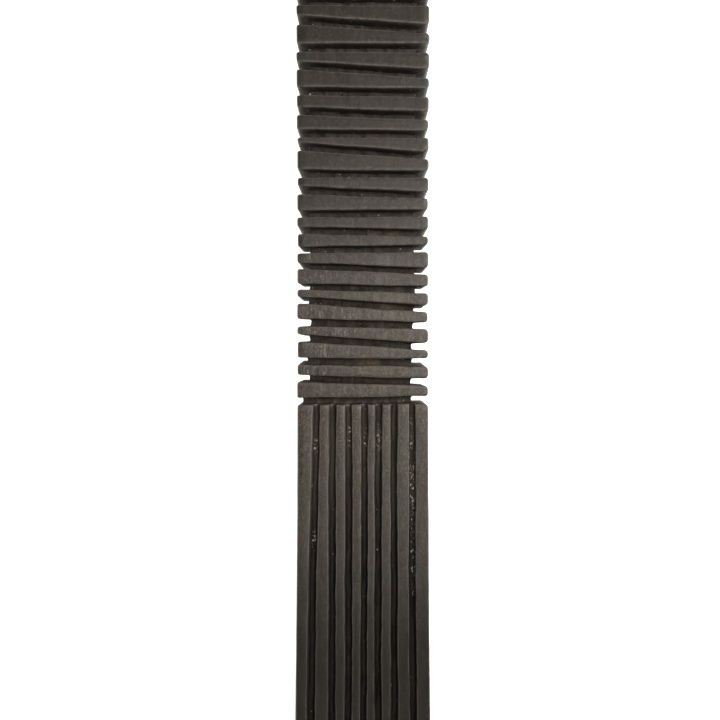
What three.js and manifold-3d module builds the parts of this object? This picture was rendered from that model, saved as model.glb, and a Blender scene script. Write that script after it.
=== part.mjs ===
// A long carved headrest: a gently dished crossbar, ribbed over one half and fluted over the other, standing on two
// arched feet. Each foot has a stub tenon in the crossbar, pinned by two pegs and bound down by a cord lashing.
// Millimetres, +Z up, +X along the crossbar towards the ribbed end, the floor at Z = 0.
import * as THREE from "three";
import { mergeVertices } from "three/addons/utils/BufferGeometryUtils.js";
import Module from "manifold-3d";

const wasm = await Module();
wasm.setup();

// ---- Driving dimensions ----
const gap = 0.3; // left between pieces that touch

const bar = {
  half: 320, // half its length
  top: 132, // height of the resting surface at its middle
  endRise: 14, // how much higher the ends stand than the middle
  thick: 38,
  halfWidth: 38.2, // at the middle
  endFlare: 1.3, // added to each side at the ends
  endChamfer: 4,
};

const cut = { deepTop: 8.5, deepSide: 7.6 }; // the cuts between the ribs, on the top and underside, and on the sides
const flute = { deepTop: 6, deepSide: 4.2, from: -37.8, to: -237 };

// The cuts round the bar, each with where its middle crosses the back edge and the front edge, its width at each,
// and how far it leans along the bar between the top face and the underside. All are sawn and chiselled by hand.
const cuts = [
  { back: 237.4, front: 236.0, wide: [4.6, 4.9], lean: 0.8 },
  { back: 225.4, front: 226.6, wide: [4.9, 4.4], lean: -0.6 },
  { back: 214.8, front: 212.2, wide: [4.6, 4.9], lean: 0.5 },
  { back: 203.6, front: 204.2, wide: [4.9, 4.8], lean: -0.9 },
  { back: 191.9, front: 191.5, wide: [5.0, 4.8], lean: 0.4 },
  { back: 181.3, front: 176.0, wide: [5.2, 5.0], lean: -0.5 },
  { back: 165.6, front: 165.3, wide: [4.8, 5.2], lean: 0.9 },
  { back: 155.5, front: 150.7, wide: [4.5, 5.2], lean: -0.4 },
  { back: 140.8, front: 139.9, wide: [4.9, 4.8], lean: 0.7 },
  { back: 129.5, front: 126.5, wide: [4.6, 4.7], lean: -0.8 },
  { back: 116.6, front: 116.1, wide: [4.4, 4.1], lean: 0.5 },
  { back: 109.1, front: 103.9, wide: [4.5, 4.3], lean: -0.3 },
  { back: 93.5, front: 93.1, wide: [4.7, 4.1], lean: 0.8 },
  { back: 83.8, front: 81.1, wide: [4.5, 4.0], lean: -0.6 },
  { back: 70.1, front: 70.8, wide: [4.0, 3.9], lean: 0.4 },
  { back: 60.6, front: 59.2, wide: [4.1, 4.0], lean: -0.7 },
  { back: 49.2, front: 50.1, wide: [3.7, 4.2], lean: 0.9 },
  { back: 40.1, front: 37.1, wide: [3.7, 4.0], lean: -0.5 },
  { back: 28.1, front: 26.2, wide: [3.6, 3.9], lean: 0.6 },
  { back: 20.2, front: 15.2, wide: [4.0, 4.2], lean: -0.8 },
  { back: 7.1, front: 5.3, wide: [4.6, 4.2], lean: 0.4 },
  { back: -1.9, front: -6.8, wide: [4.3, 4.1], lean: -0.6 },
  { back: -15.4, front: -16.1, wide: [4.0, 4.6], lean: 1.1 },
  { back: -25.4, front: -27.5, wide: [4.0, 4.1], lean: -1.0 },
  { back: -38.8, front: -37.9, wide: [4.3, 4.5], lean: -1.0 },
  { back: -237.4, front: -236.8, wide: [4.6, 4.8], lean: 0.5 },
];

// The flutes of the top face: the side-to-side place of each at the ribs and at its far end, and its width at each.
const topFlutes = [
  { y: [27.4, 30.2], wide: [4.2, 5.2] },
  { y: [17.6, 18.0], wide: [4.4, 4.4] },
  { y: [8.3, 8.8], wide: [4.2, 4.4] },
  { y: [-0.8, -0.3], wide: [4.3, 3.8] },
  { y: [-8.9, -8.8], wide: [4.4, 4.3] },
  { y: [-18.0, -18.2], wide: [4.3, 4.3] },
  { y: [-28.4, -28.6], wide: [4.0, 4.1] },
];
const sideFlutes = [9.5, 19, 28.5]; // how far each flute of the side faces lies below the top face
const sideFluteWide = 4.2;

const foot = {
  x: 271, // its middle, from the bar's middle
  top: 106.2,
  floorHalfWidth: 44,
  archHalfWidth: 22,
  archSpring: 44, // height where the arch's round head starts
  archRadius: 13,
};
const tenon = { halfLength: 20, halfWidth: 13, height: 17 };
const slot = { bottom: 87.2, top: 91 }; // where the lashing passes through the foot, under its head
const peg = { radius: 3.2, offset: 14, z: 115, halfLength: 40, chamfer: 0.8, sides: 16 };
const pegHoleRadius = 3.6;

const lashing = { halfLength: 9.1, thick: 3.2, seatTop: 139.8, seatHalfWidth: 36.8 };

// ---- Solids ----
function solidOf(geometry) {
  const bare = geometry.clone();
  bare.deleteAttribute("normal");
  bare.deleteAttribute("uv");
  const merged = mergeVertices(bare, 1e-4);
  return new wasm.Manifold(
    new wasm.Mesh({
      numProp: 3,
      vertProperties: merged.attributes.position.array,
      triVerts: new Uint32Array(merged.index.array),
    }),
  );
}

function geometryOf(solid) {
  const mesh = solid.getMesh();
  const positions = new Float32Array(mesh.numVert * 3);
  for (let i = 0; i < mesh.numVert; i++) {
    positions.set(mesh.vertProperties.subarray(i * mesh.numProp, i * mesh.numProp + 3), i * 3);
  }
  const geometry = new THREE.BufferGeometry();
  geometry.setAttribute("position", new THREE.BufferAttribute(positions, 3));
  geometry.setIndex(new THREE.BufferAttribute(new Uint32Array(mesh.triVerts), 1));
  geometry.computeVertexNormals();
  return geometry;
}

const outlineOf = (points) => new THREE.Shape(points.map(([a, b]) => new THREE.Vector2(a, b)));

// A shape drawn in plan (x, y), standing from z0 to z1.
function fromPlan(shape, z0, z1) {
  const geometry = new THREE.ExtrudeGeometry(shape, { depth: z1 - z0, bevelEnabled: false });
  return geometry.translate(0, 0, z0);
}

// A shape drawn from the side (x, z), reaching from y = -halfWidth to y = halfWidth.
function fromSide(shape, halfWidth) {
  const geometry = new THREE.ExtrudeGeometry(shape, { depth: 2 * halfWidth, bevelEnabled: false });
  return geometry.rotateX(Math.PI / 2).translate(0, halfWidth, 0);
}

// A shape drawn from the end (y, z), reaching from x0 to x1.
function fromEnd(shape, x0, x1, curveSegments = 8) {
  const settings = { depth: x1 - x0, bevelEnabled: false, curveSegments };
  const geometry = new THREE.ExtrudeGeometry(shape, settings);
  return geometry.rotateX(Math.PI / 2).rotateZ(Math.PI / 2).translate(x0, 0, 0);
}

function box(x0, x1, y0, y1, z0, z1) {
  const geometry = new THREE.BoxGeometry(x1 - x0, y1 - y0, z1 - z0);
  return solidOf(geometry.translate((x0 + x1) / 2, (y0 + y1) / 2, (z0 + z1) / 2));
}

// ---- Crossbar ----
const barTop = (x) => bar.top + bar.endRise * (x / bar.half) ** 2;
const barHalfWidth = (x) => bar.halfWidth + bar.endFlare * (x / bar.half) ** 2;

// Points along the bar at a height below its top face.
function alongBar(below, x0, x1, steps) {
  const points = [];
  for (let i = 0; i <= steps; i++) {
    const x = x0 + ((x1 - x0) * i) / steps;
    points.push([x, barTop(x) - below]);
  }
  return points;
}

// The bar's own shape with its faces moved in by these depths, and the arrises of its ends taken off.
function barInset(top, side, bottom) {
  const steps = 16;
  const flat = bar.half - bar.endChamfer;
  const upper = alongBar(top, -flat, flat, steps);
  const lower = alongBar(bar.thick - bottom, -flat, flat, steps);
  const endTop = barTop(bar.half) - top - bar.endChamfer;
  const endBottom = barTop(bar.half) - bar.thick + bottom + bar.endChamfer;
  const sideOutline = outlineOf([
    [-bar.half, endTop],
    [-bar.half, endBottom],
    ...lower,
    [bar.half, endBottom],
    [bar.half, endTop],
    ...upper.toReversed(),
  ]);
  const edge = [[-bar.half, barHalfWidth(bar.half) - side - bar.endChamfer]];
  for (const [x] of upper) {
    edge.push([x, barHalfWidth(x) - side]);
  }
  edge.push([bar.half, edge[0][1]]);
  const planOutline = outlineOf([...edge, ...edge.toReversed().map(([x, y]) => [x, -y])]);
  const tall = solidOf(fromSide(sideOutline, 60));
  return tall.intersect(solidOf(fromPlan(planOutline, 60, 180)));
}

function ringCut({ back, front, wide, lean }) {
  const reach = 45; // beyond the bar's sides
  const slope = (back - front) / (2 * bar.halfWidth);
  const middle = (back + front) / 2;
  const at = (y, side) => {
    const share = (y + bar.halfWidth) / (2 * bar.halfWidth);
    const halfWide = (wide[0] * share + wide[1] * (1 - share)) / 2;
    return [middle + slope * y + side * halfWide, y];
  };
  const outline = outlineOf([at(-reach, -1), at(-reach, 1), at(reach, 1), at(reach, -1)]);
  const geometry = fromPlan(outline, -80, 80);
  const leaning = new THREE.Matrix4().makeShear(0, 0, 0, 0, -lean / bar.thick, 0);
  geometry.applyMatrix4(leaning);
  return solidOf(geometry.translate(0, 0, barTop(middle)));
}

function topFluteCut({ y, wide }) {
  const outline = outlineOf([
    [flute.to, y[1] - wide[1] / 2],
    [flute.from, y[0] - wide[0] / 2],
    [flute.from, y[0] + wide[0] / 2],
    [flute.to, y[1] + wide[1] / 2],
  ]);
  return solidOf(fromPlan(outline, bar.top - 12, 180));
}

function sideFluteCut(below) {
  const outline = outlineOf([
    ...alongBar(below + sideFluteWide / 2, flute.to, flute.from, 8),
    ...alongBar(below - sideFluteWide / 2, flute.from, flute.to, 8),
  ]);
  return solidOf(fromSide(outline, 60));
}

function makeCrossbar() {
  let body = barInset(0, 0, 0);
  const core = barInset(cut.deepTop, cut.deepSide, cut.deepTop);
  const rings = cuts.map(ringCut).reduce((a, b) => a.add(b));
  body = body.subtract(rings.subtract(core));

  const fluteCore = barInset(flute.deepTop, flute.deepSide, 0);
  const flutes = [...topFlutes.map(topFluteCut), ...sideFlutes.map(sideFluteCut)].reduce((a, b) => a.add(b));
  body = body.subtract(flutes.subtract(fluteCore));

  for (const side of [-1, 1]) {
    const x = side * foot.x;
    const seat = foot.top + gap;
    body = body.subtract(box(x - 24 - gap, x + 24 + gap, -60, 60, 60, seat));
    const length = tenon.halfLength + gap;
    const width = tenon.halfWidth + gap;
    body = body.subtract(box(x - length, x + length, -width, width, seat - 1, seat + tenon.height + gap));
    const reach = lashing.halfLength + gap;
    const inner = box(x - 30, x + 30, -lashing.seatHalfWidth, lashing.seatHalfWidth, 60, lashing.seatTop);
    body = body.subtract(box(x - reach, x + reach, -60, 60, 60, 180).subtract(inner));
    for (const offset of [-peg.offset, peg.offset]) {
      body = body.subtract(pegSolid(x + offset, pegHoleRadius, 60, 0));
    }
  }
  return geometryOf(body);
}

// ---- Pegs ----
function pegSolid(x, radius, halfLength, chamfer) {
  const profile = [
    [0, -halfLength],
    [radius - chamfer, -halfLength],
    [radius, -halfLength + chamfer],
    [radius, halfLength - chamfer],
    [radius - chamfer, halfLength],
    [0, halfLength],
  ].map(([a, b]) => new THREE.Vector2(a, b));
  return solidOf(new THREE.LatheGeometry(profile, peg.sides).translate(x, 0, peg.z));
}

// ---- Feet ----
function makeFoot(x) {
  const outer = foot.floorHalfWidth;
  const shape = new THREE.Shape();
  shape.moveTo(outer, 0);
  shape.lineTo(outer, 7);
  shape.quadraticCurveTo(31, 30, 27.5, 60);
  shape.quadraticCurveTo(26.5, 76, 30.2, slot.bottom);
  shape.lineTo(30.4, slot.top);
  shape.lineTo(34, 100);
  shape.lineTo(34, foot.top);
  shape.lineTo(-34, foot.top);
  shape.lineTo(-34, 100);
  shape.lineTo(-30.4, slot.top);
  shape.lineTo(-30.2, slot.bottom);
  shape.quadraticCurveTo(-26.5, 76, -27.5, 60);
  shape.quadraticCurveTo(-31, 30, -outer, 7);
  shape.lineTo(-outer, 0);
  shape.lineTo(-foot.archHalfWidth, 0);
  shape.lineTo(-foot.archHalfWidth, 5);
  shape.quadraticCurveTo(-15, 24, -foot.archRadius, foot.archSpring);
  shape.absarc(0, foot.archSpring, foot.archRadius, Math.PI, 0, true);
  shape.quadraticCurveTo(15, 24, foot.archHalfWidth, 5);
  shape.lineTo(foot.archHalfWidth, 0);

  // Half its thickness at each height: a firm base, a slim middle and a head as long as its seat.
  const profile = [
    [17, 0],
    [17, 7],
    [14.5, 32],
    [16, 66],
    [24, 86],
    [24, foot.top],
  ];
  const thickness = outlineOf([...profile, ...profile.toReversed().map(([a, z]) => [-a, z])]);
  let body = solidOf(fromEnd(shape, -30, 30)).intersect(solidOf(fromSide(thickness, 60)));
  const reach = lashing.halfLength + gap;
  body = body.subtract(box(-reach, reach, -60, 60, slot.bottom, slot.top));
  const stub = box(
    -tenon.halfLength,
    tenon.halfLength,
    -tenon.halfWidth,
    tenon.halfWidth,
    foot.top - 1,
    foot.top + tenon.height,
  );
  body = body.add(stub);
  for (const offset of [-peg.offset, peg.offset]) {
    body = body.subtract(pegSolid(offset, pegHoleRadius, 60, 0));
  }
  return geometryOf(body).translate(x, 0, 0);
}

// ---- Lashings: a closed band over the bar, down its sides and through the foot under its head ----
function makeLashing(x) {
  const t = lashing.thick;
  const side = lashing.seatHalfWidth + gap;
  const top = lashing.seatTop + gap;
  const low = slot.top - gap;
  const inside = [
    [31.2, low],
    [side, 100],
    [side, top],
  ];
  const outside = [
    [32.2, low - t],
    [33, low - t + 0.6],
    [side + t, 99],
    [side + t, top + t - 1],
    [side + t - 1, top + t],
  ];
  const around = (points) => [...points, ...points.toReversed().map(([y, z]) => [-y, z])];
  const shape = outlineOf(around(outside));
  shape.holes.push(outlineOf(around(inside)));
  return fromEnd(shape, x - lashing.halfLength, x + lashing.halfLength);
}

// ---- The assembly ----
const darkWood = new THREE.MeshStandardMaterial({ color: 0x3b3733, roughness: 0.62, metalness: 0 });
const footWood = new THREE.MeshStandardMaterial({ color: 0x37322d, roughness: 0.66, metalness: 0 });
const pegWood = new THREE.MeshStandardMaterial({ color: 0x4a3a2c, roughness: 0.6, metalness: 0 });
const cord = new THREE.MeshStandardMaterial({ color: 0x4e3c28, roughness: 0.9, metalness: 0 });

const headrest = new THREE.Group();

function add(name, geometry, material) {
  const mesh = new THREE.Mesh(geometry, material);
  mesh.name = name;
  headrest.add(mesh);
}

add("crossbar", makeCrossbar(), darkWood);
for (const [end, side] of [
  ["ribbed_end", 1],
  ["fluted_end", -1],
]) {
  const x = side * foot.x;
  add(`${end}_foot`, makeFoot(x), footWood);
  add(`${end}_lashing`, makeLashing(x), cord);
  for (const [place, offset] of [
    ["inner", -side * peg.offset],
    ["outer", side * peg.offset],
  ]) {
    const pin = pegSolid(x + offset, peg.radius, peg.halfLength, peg.chamfer);
    add(`${end}_${place}_peg`, geometryOf(pin), pegWood);
  }
}

export default headrest;
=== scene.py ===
"""The looks of a long carved headrest: a ribbed and fluted crossbar, pegged and lashed to two arched feet.

Everything is in metres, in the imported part's own frame: +X along the crossbar to its ribbed end, +Z up.
"""
import itertools
import math

import bmesh
import bpy
import numpy as np
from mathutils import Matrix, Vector


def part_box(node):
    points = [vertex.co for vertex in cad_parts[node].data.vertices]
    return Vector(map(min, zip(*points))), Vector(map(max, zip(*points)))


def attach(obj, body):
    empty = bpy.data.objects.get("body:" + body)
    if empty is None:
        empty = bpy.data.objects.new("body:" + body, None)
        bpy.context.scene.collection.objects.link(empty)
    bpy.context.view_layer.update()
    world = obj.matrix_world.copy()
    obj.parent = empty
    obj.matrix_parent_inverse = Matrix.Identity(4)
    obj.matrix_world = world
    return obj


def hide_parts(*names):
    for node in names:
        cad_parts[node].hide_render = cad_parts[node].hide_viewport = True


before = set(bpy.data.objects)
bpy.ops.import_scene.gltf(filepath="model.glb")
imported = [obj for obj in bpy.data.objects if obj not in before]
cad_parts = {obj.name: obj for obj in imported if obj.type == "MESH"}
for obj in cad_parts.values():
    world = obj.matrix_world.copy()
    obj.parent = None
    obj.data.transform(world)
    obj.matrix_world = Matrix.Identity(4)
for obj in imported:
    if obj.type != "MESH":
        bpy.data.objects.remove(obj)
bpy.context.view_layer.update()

MM = 0.001

FIT = 0.3 * MM  # left between pieces that touch

# ---- The crossbar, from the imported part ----
BAR_LOW, BAR_HIGH = (np.array(corner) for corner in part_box("crossbar"))
BAR_HALF = BAR_HIGH[0]
BAR_END_HALF_WIDTH = BAR_HIGH[1]
THICK = 38 * MM
END_RISE = 14 * MM  # how much higher the ends stand than the middle
END_FLARE = 1.3 * MM  # how much wider each side is at the ends
END_ROUND = 4 * MM
# The rounded end edge: how far in from each side, and how far along from the end, in END_ROUNDs.
END_EDGE = ((1, 0), (0.62, 0.25), (0.3, 0.7), (0.08, 1.3), (0, 2.1))
PLAIN_FROM = 240.5 * MM  # where each plain end begins, past the outermost cut
PLAIN_STEPS = 12
FLUTED_STEPS = 55
MID_TOP = BAR_LOW[2] + THICK
MID_HALF_WIDTH = BAR_END_HALF_WIDTH - END_FLARE
ARRIS = 1.1 * MM  # radius of the lengthwise arrises
STAND_BACK = 0.2 * MM  # how far the carved faces lie inside the plain outline

CUT_DEEP_TOP = 8.5 * MM
CUT_DEEP_SIDE = 7.6 * MM
FLUTE_DEEP_TOP = 6 * MM
FLUTE_DEEP_SIDE = 4.2 * MM

# The cuts round the bar, in millimetres: where the middle of each crosses the back edge and the front edge,
# its width at each, and how far it leans along the bar by the underside.
CUTS = [
    (-237.4, -236.8, 4.6, 4.8, 0.5),
    (-38.8, -37.9, 4.3, 4.5, -1.0),
    (-25.4, -27.5, 4.0, 4.1, -1.0),
    (-15.4, -16.1, 4.0, 4.6, 1.1),
    (-1.9, -6.8, 4.3, 4.1, -0.6),
    (7.1, 5.3, 4.6, 4.2, 0.4),
    (20.2, 15.2, 4.0, 4.2, -0.8),
    (28.1, 26.2, 3.6, 3.9, 0.6),
    (40.1, 37.1, 3.7, 4.0, -0.5),
    (49.2, 50.1, 3.7, 4.2, 0.9),
    (60.6, 59.2, 4.1, 4.0, -0.7),
    (70.1, 70.8, 4.0, 3.9, 0.4),
    (83.8, 81.1, 4.5, 4.0, -0.6),
    (93.5, 93.1, 4.7, 4.1, 0.8),
    (109.1, 103.9, 4.5, 4.3, -0.3),
    (116.6, 116.1, 4.4, 4.1, 0.5),
    (129.5, 126.5, 4.6, 4.7, -0.8),
    (140.8, 139.9, 4.9, 4.8, 0.7),
    (155.5, 150.7, 4.5, 5.2, -0.4),
    (165.6, 165.3, 4.8, 5.2, 0.9),
    (181.3, 176.0, 5.2, 5.0, -0.5),
    (191.9, 191.5, 5.0, 4.8, 0.4),
    (203.6, 204.2, 4.9, 4.8, -0.9),
    (214.8, 212.2, 4.6, 4.9, 0.5),
    (225.4, 226.6, 4.9, 4.4, -0.6),
    (237.4, 236.0, 4.6, 4.9, 0.8),
]
# How deep a cut goes into the back side and the front side, in shares of the usual depth.
USUAL_DEPTHS = (0.93, 1.07)
SIDE_DEPTHS = {
    1: (0.36, 1.32),
    2: (0.95, 1.38),
    3: (0.72, 1.2),
    4: (0.95, 1.25),
    5: (0.98, 1.08),
    6: (0.82, 1.09),
}
NOMINAL_CUT_HALF = 2.2 * MM

# The flutes of the top face, in millimetres: how far each lies in front of the bar's middle line at the ribs
# and at the flutes' far end, and its width at each.
TOP_FLUTES = [
    (-27.4, -30.2, 4.2, 5.2),
    (-17.6, -18.0, 4.4, 4.4),
    (-8.3, -8.8, 4.2, 4.4),
    (0.8, 0.3, 4.3, 3.8),
    (8.9, 8.8, 4.4, 4.3),
    (18.0, 18.2, 4.3, 4.3),
    (28.4, 28.6, 4.0, 4.1),
]
SIDE_FLUTES = [(9.5, 9.5, 4.2, 4.2), (19, 19, 4.2, 4.2), (28.5, 28.5, 4.2, 4.2)]  # below the top face
FLUTES_FROM = -38 * MM
FLUTES_TO = -237 * MM

# A flute's section: place across it in half widths, further millimetres, share of its depth, wear, which the
# material also paints as a highlight.
FLUTE_SECTION = [
    (-1, -0.6, 0.0, 0.1),
    (-1, -0.2, 0.014, 1),
    (-1, 0, 0.06, 0.3),
    (-0.86, 0, 0.5, 0),
    (-0.5, 0, 0.93, 0),
    (0, 0, 1.0, 0),
    (0.5, 0, 0.93, 0),
    (0.86, 0, 0.5, 0),
    (1, 0, 0.08, 0.3),
    (1, 0.35, 0.026, 1),
    (1, 0.8, 0.0, 0.1),
]
SIDE_FLUTE_SECTION = FLUTE_SECTION[1:4] + [(-0.3, 0, 1.0, 0), (0.3, 0, 1.0, 0)] + FLUTE_SECTION[7:10]

# A cut's section, from its middle outwards: place in half widths, further millimetres, share of depth, wear.
CUT_SECTION = [
    (0.45, 0, 1.0, 0),
    (0.84, 0, 0.94, 0),
    (0.94, 0, 0.5, 0),
    (1.0, -0.05, 0.12, 0.2),
    (1.0, 0.14, 0.045, 0.55),
    (1.0, 0.42, 0.012, 0.55),
    (1.0, 0.9, 0, 0.1),
]

# How much rounder a cut's arrises are on the bar's front and back sides than on its other faces.
SOFT_FRONT = 1.3
SOFT_BACK = 0.6

# ---- Feet, tenons, pegs and lashings ----
ENDS = ("ribbed_end", "fluted_end")
TENON_HEIGHT = 17 * MM
TENON_HALF_LENGTH = 20 * MM
TENON_HALF_WIDTH = 13 * MM
HEAD_HALF_LENGTH = 24 * MM
FOOT_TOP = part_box("ribbed_end_foot")[1].z - TENON_HEIGHT
PEG_HOLE_RADIUS = 3.4 * MM
BAND_THICK = 3.2 * MM
SEAT_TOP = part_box("ribbed_end_lashing")[1].z - BAND_THICK - FIT
SEAT_HALF_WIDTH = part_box("ribbed_end_lashing")[1].y - BAND_THICK - FIT
SLOT_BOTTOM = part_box("ribbed_end_lashing")[0].z - FIT
SLOT_TOP = 91 * MM
BEYOND = 60 * MM  # past both sides of the bar and of the feet

rng = np.random.default_rng(20)


# ---- Small helpers ----
def scatter(cell, seed):
    """A fixed number from 0 to 1 for each whole-numbered cell."""
    key = np.full(cell.shape[:-1], 2654435761 * (seed + 1), np.int64)
    for axis, prime in enumerate((73856093, 19349663, 83492791)[:cell.shape[-1]]):
        key ^= cell[..., axis] * prime
    key = (key ^ (key >> 13)) * 1274126177
    return ((key ^ (key >> 16)) & 0xFFFFFF) / 0xFFFFFF


def lattice_noise(points, size, seed):
    """Smooth noise from -1 to 1 over an array of points, with lumps about `size` across."""
    scaled = np.asarray(points, float) / size + 31.7 * seed
    cell = np.floor(scaled).astype(np.int64)
    part = scaled - cell
    part = part * part * (3 - 2 * part)
    total = np.zeros(scaled.shape[:-1])
    for corner in itertools.product((0, 1), repeat=scaled.shape[-1]):
        weight = np.prod(np.where(corner, part, 1 - part), axis=-1)
        total += weight * (scatter(cell + corner, seed) * 2 - 1)
    return total


def nearest_seed(points, size, seed):
    """How far each point is, in cells, from the nearest of a scatter of seeds, one to each cell."""
    scaled = points / size
    cell = np.floor(scaled).astype(np.int64)
    nearest = np.full(len(points), np.inf)
    for step in itertools.product((-1, 0, 1), repeat=3):
        here = cell + step
        place = np.stack([here[:, k] + scatter(here, seed + 200 * (k + 1)) for k in range(3)], -1)
        nearest = np.minimum(nearest, ((place - scaled) ** 2).sum(-1))
    return np.sqrt(nearest)


def stack(*arrays):
    return np.stack(np.broadcast_arrays(*arrays), axis=-1)


def store(mesh, name, values):
    """Gives a mesh one number for each vertex, which a material can read by this name."""
    layer = mesh.attributes.new(name, "FLOAT", "POINT")
    layer.data.foreach_set("value", np.asarray(values, np.float32))


def mesh_object(name, vertices, faces, sharp_angle=50):
    mesh = bpy.data.meshes.new(name)
    mesh.from_pydata([tuple(v) for v in vertices], [], [tuple(f) for f in faces])
    mesh.validate()
    mesh.shade_smooth()
    mesh.set_sharp_from_angle(angle=math.radians(sharp_angle))
    piece = bpy.data.objects.new(name, mesh)
    bpy.context.scene.collection.objects.link(piece)
    return piece


def apply_modifiers(piece):
    """The piece's mesh with its modifiers done, in place of its mesh."""
    graph = bpy.context.evaluated_depsgraph_get()
    made = bpy.data.meshes.new_from_object(piece.evaluated_get(graph))
    piece.modifiers.clear()
    piece.data = made


BOX_FACES = ((0, 1, 3, 2), (4, 6, 7, 5), (0, 4, 5, 1), (2, 3, 7, 6), (0, 2, 6, 4), (1, 5, 7, 3))


def join_boxes(name, boxes):
    """One mesh object of separate boxes, each given by its lowest and highest corner."""
    vertices, faces = [], []
    for low, high in boxes:
        first = len(vertices)
        vertices += list(itertools.product(*zip(low, high)))
        faces += [[first + corner for corner in face] for face in BOX_FACES]
    return mesh_object(name, vertices, faces)


def ring_quads(first, second, count):
    """The faces between two rings of vertices, given by the number of each ring's first vertex."""
    quads = []
    for k in range(count):
        after = (k + 1) % count
        quads.append((first + k, first + after, second + after, second + k))
    return quads


def rods(name, centres, radius, half_length, sides=28):
    """One mesh object of separate round rods along Y."""
    vertices, faces = [], []
    for x, z in centres:
        first = len(vertices)
        for y in (-half_length, half_length):
            for k in range(sides):
                angle = 2 * math.pi * k / sides
                vertices.append((x + radius * math.cos(angle), y, z + radius * math.sin(angle)))
        faces += ring_quads(first, first + sides, sides)
        faces.append([first + k for k in reversed(range(sides))])
        faces.append([first + sides + k for k in range(sides)])
    return mesh_object(name, vertices, faces)


def boolean(piece, other, operation="DIFFERENCE"):
    modifier = piece.modifiers.new("cut", "BOOLEAN")
    modifier.operation = operation
    modifier.object = other
    modifier.solver = "MANIFOLD"
    apply_modifiers(piece)
    bpy.data.objects.remove(other)


def finish_piece(piece, node, material):
    piece.data.materials.clear()
    piece.data.materials.append(material)
    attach(piece, "root")
    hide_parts(node)


# ---- Camera: straight above the bar, its ribbed end up the picture ----
CAMERA_ABOVE = 420 * MM  # above the resting surface's middle
SENSOR_WIDTH = 36
FOCAL_LENGTH = 36.2
CAMERA_SHIFT = (-0.004, -0.035)


def place_camera():
    data = bpy.data.cameras.new("camera")
    data.sensor_width = SENSOR_WIDTH
    data.lens = FOCAL_LENGTH
    data.shift_x, data.shift_y = CAMERA_SHIFT
    data.clip_start = 0.01
    camera = bpy.data.objects.new("camera", data)
    camera.location = (0, 0, MID_TOP + CAMERA_ABOVE)
    camera.rotation_euler = (0, 0, -math.pi / 2)
    bpy.context.scene.collection.objects.link(camera)
    bpy.context.scene.camera = camera


# ---- Crossbar ----
def bar_top(x):
    return MID_TOP + END_RISE * (x / BAR_HALF) ** 2


def bar_half_width(x):
    return MID_HALF_WIDTH + END_FLARE * (x / BAR_HALF) ** 2


def flute_rows(flutes, x, seed):
    """The middle and half width of each flute of a face at each place along the bar."""
    share = np.clip((x - FLUTES_FROM) / (FLUTES_TO - FLUTES_FROM), 0, 1)
    rows = []
    for i, (near, far, near_wide, far_wide) in enumerate(flutes):
        along = stack(x, np.full_like(x, i * 0.9))
        middle = near + (far - near) * share
        middle += 0.35 * lattice_noise(along, 0.045, seed) + 0.15 * lattice_noise(along, 0.009, seed + 1)
        half = (near_wide + (far_wide - near_wide) * share) / 2
        half += 0.2 * lattice_noise(along, 0.02, seed + 2) + 0.16 * lattice_noise(along, 0.005, seed + 3)
        rows.append((middle * MM, half * MM))
    return rows


def face_columns(start, end, rows, section, ridge_shares):
    """Places across a face from arris to arris, each with its flute, share of depth and wear."""
    columns = [(start, -1, 0, 0)]
    edge = start
    for i, (middle, half) in enumerate(rows):
        first = middle - half + section[0][1] * MM
        for share in ridge_shares:
            columns.append((edge + (first - edge) * share, -1, 0, 0))
        for across, further, deep, wear in section:
            columns.append((middle + across * half + further * MM, i, deep, wear))
        edge = columns[-1][0]
    for share in ridge_shares:
        columns.append((edge + (end - edge) * share, -1, 0, 0))
    return columns + [(end, -1, 0, 0)]


def end_stations(side):
    """The rings of one plain end, from its end face inwards."""
    stations = []
    for inset, along in END_EDGE:
        stations.append({"x": side * (BAR_HALF - along * END_ROUND), "inset": inset * END_ROUND})
    outer = BAR_HALF - END_EDGE[-1][1] * END_ROUND
    for i in range(1, PLAIN_STEPS):
        stations.append({"x": side * (outer + (PLAIN_FROM - outer) * i / PLAIN_STEPS), "inset": 0})
    return stations


def bar_stations():
    """The rings along the bar, from the fluted end to the ribbed end.

    Each is a dictionary: x is its place where it doesn't follow a cut; between is a cut and share is how far
    along it lies from there to the next one; cut, across, further, depth and wear follow one cut's section.
    """
    stations = end_stations(-1)
    for k in range(len(CUTS)):
        for side in (-1, 1):
            for across, further, depth, wear in CUT_SECTION[::side]:
                station = {"cut": k, "across": side * across, "further": side * further}
                stations.append(station | {"depth": depth, "wear": wear})
        shares = np.linspace(0, 1, FLUTED_STEPS + 1)[1:-1] if k == 0 else (0.22, 0.5, 0.78)
        if k + 1 < len(CUTS):
            for share in shares:
                stations.append({"between": k, "share": share})
    return stations + end_stations(1)[::-1]


def cut_line(k, y, z):
    """Where cut k's middle lies along the bar, and its half width, at places of the bar's section."""
    back, front, back_wide, front_wide, lean = CUTS[k]
    share = (y / MID_HALF_WIDTH + 1) / 2
    top = bar_top((back + front) / 2 * MM)
    middle = front + (back - front) * share - lean * (z - top) / THICK
    half = (front_wide + (back_wide - front_wide) * share) / 2
    spot = stack(y, z - top, np.full_like(y, 0.013 * k))
    middle += 0.26 * lattice_noise(spot, 0.018, 5) + 0.05 * lattice_noise(spot, 0.005, 6)
    half += 0.2 * lattice_noise(spot, 0.015, 7) + 0.05 * lattice_noise(spot, 0.0045, 8)
    return middle * MM, half * MM


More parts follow.
